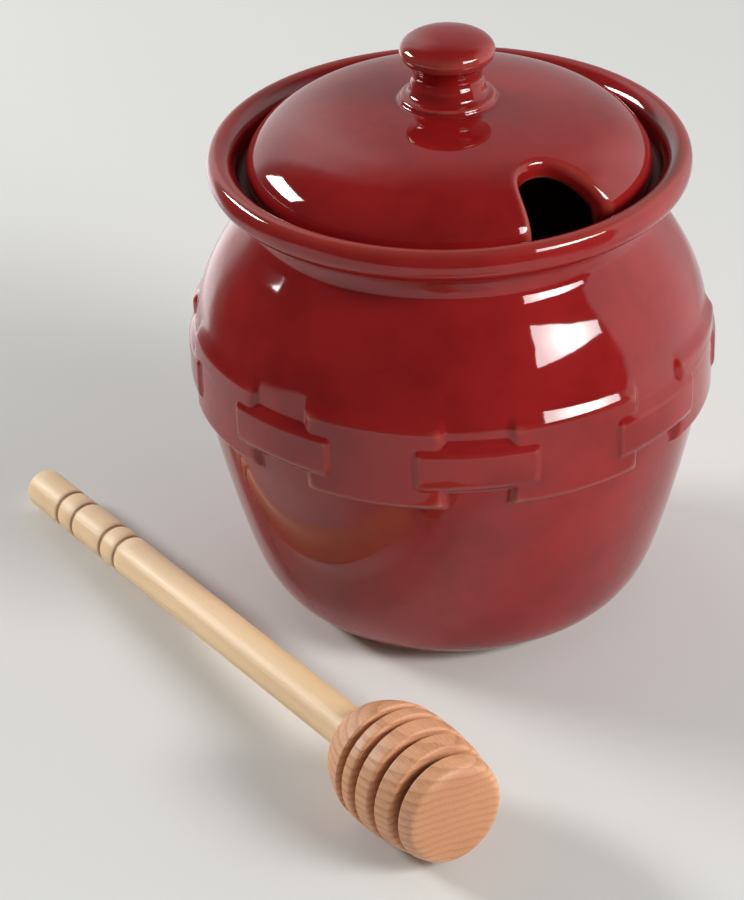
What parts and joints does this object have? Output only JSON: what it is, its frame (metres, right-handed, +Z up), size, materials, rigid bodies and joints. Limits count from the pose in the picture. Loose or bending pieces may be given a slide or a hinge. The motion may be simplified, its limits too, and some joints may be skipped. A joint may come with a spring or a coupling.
{
  "type": "honey pot",
  "caption": "Round glazed stoneware honey pot with a raised woven band, a loose domed lid with a dipper notch, and a turned wooden dipper lying beside it.",
  "frame": {"origin": "centre of the pot's foot ring, on the table", "axes": "+Z up along the pot's axis; -Y towards the viewer of the picture; +X to that viewer's right"},
  "size_m": [0.1619, 0.1785, 0.1364],
  "materials": {
    "pot_glaze": "gloss",
    "lid_glaze": "gloss",
    "pale_wood": "satin",
    "red_wood": "satin"
  },
  "bodies": {
    "pot": {"pot": "pot_glaze"},
    "lid": {"lid": "lid_glaze"},
    "dipper": {"dipper_handle": "pale_wood", "dipper_head": "red_wood"}
  },
  "joints": [
    {"name": "lid_lift", "type": "slide", "parent": "pot", "child": "lid", "axis": [0, 0, 1], "range_m": [0, 0.08]},
    {"name": "dipper_lift", "type": "slide", "parent": "pot", "child": "dipper", "axis": [0, 0, 1], "range_m": [0, 0.15]}
  ]
}
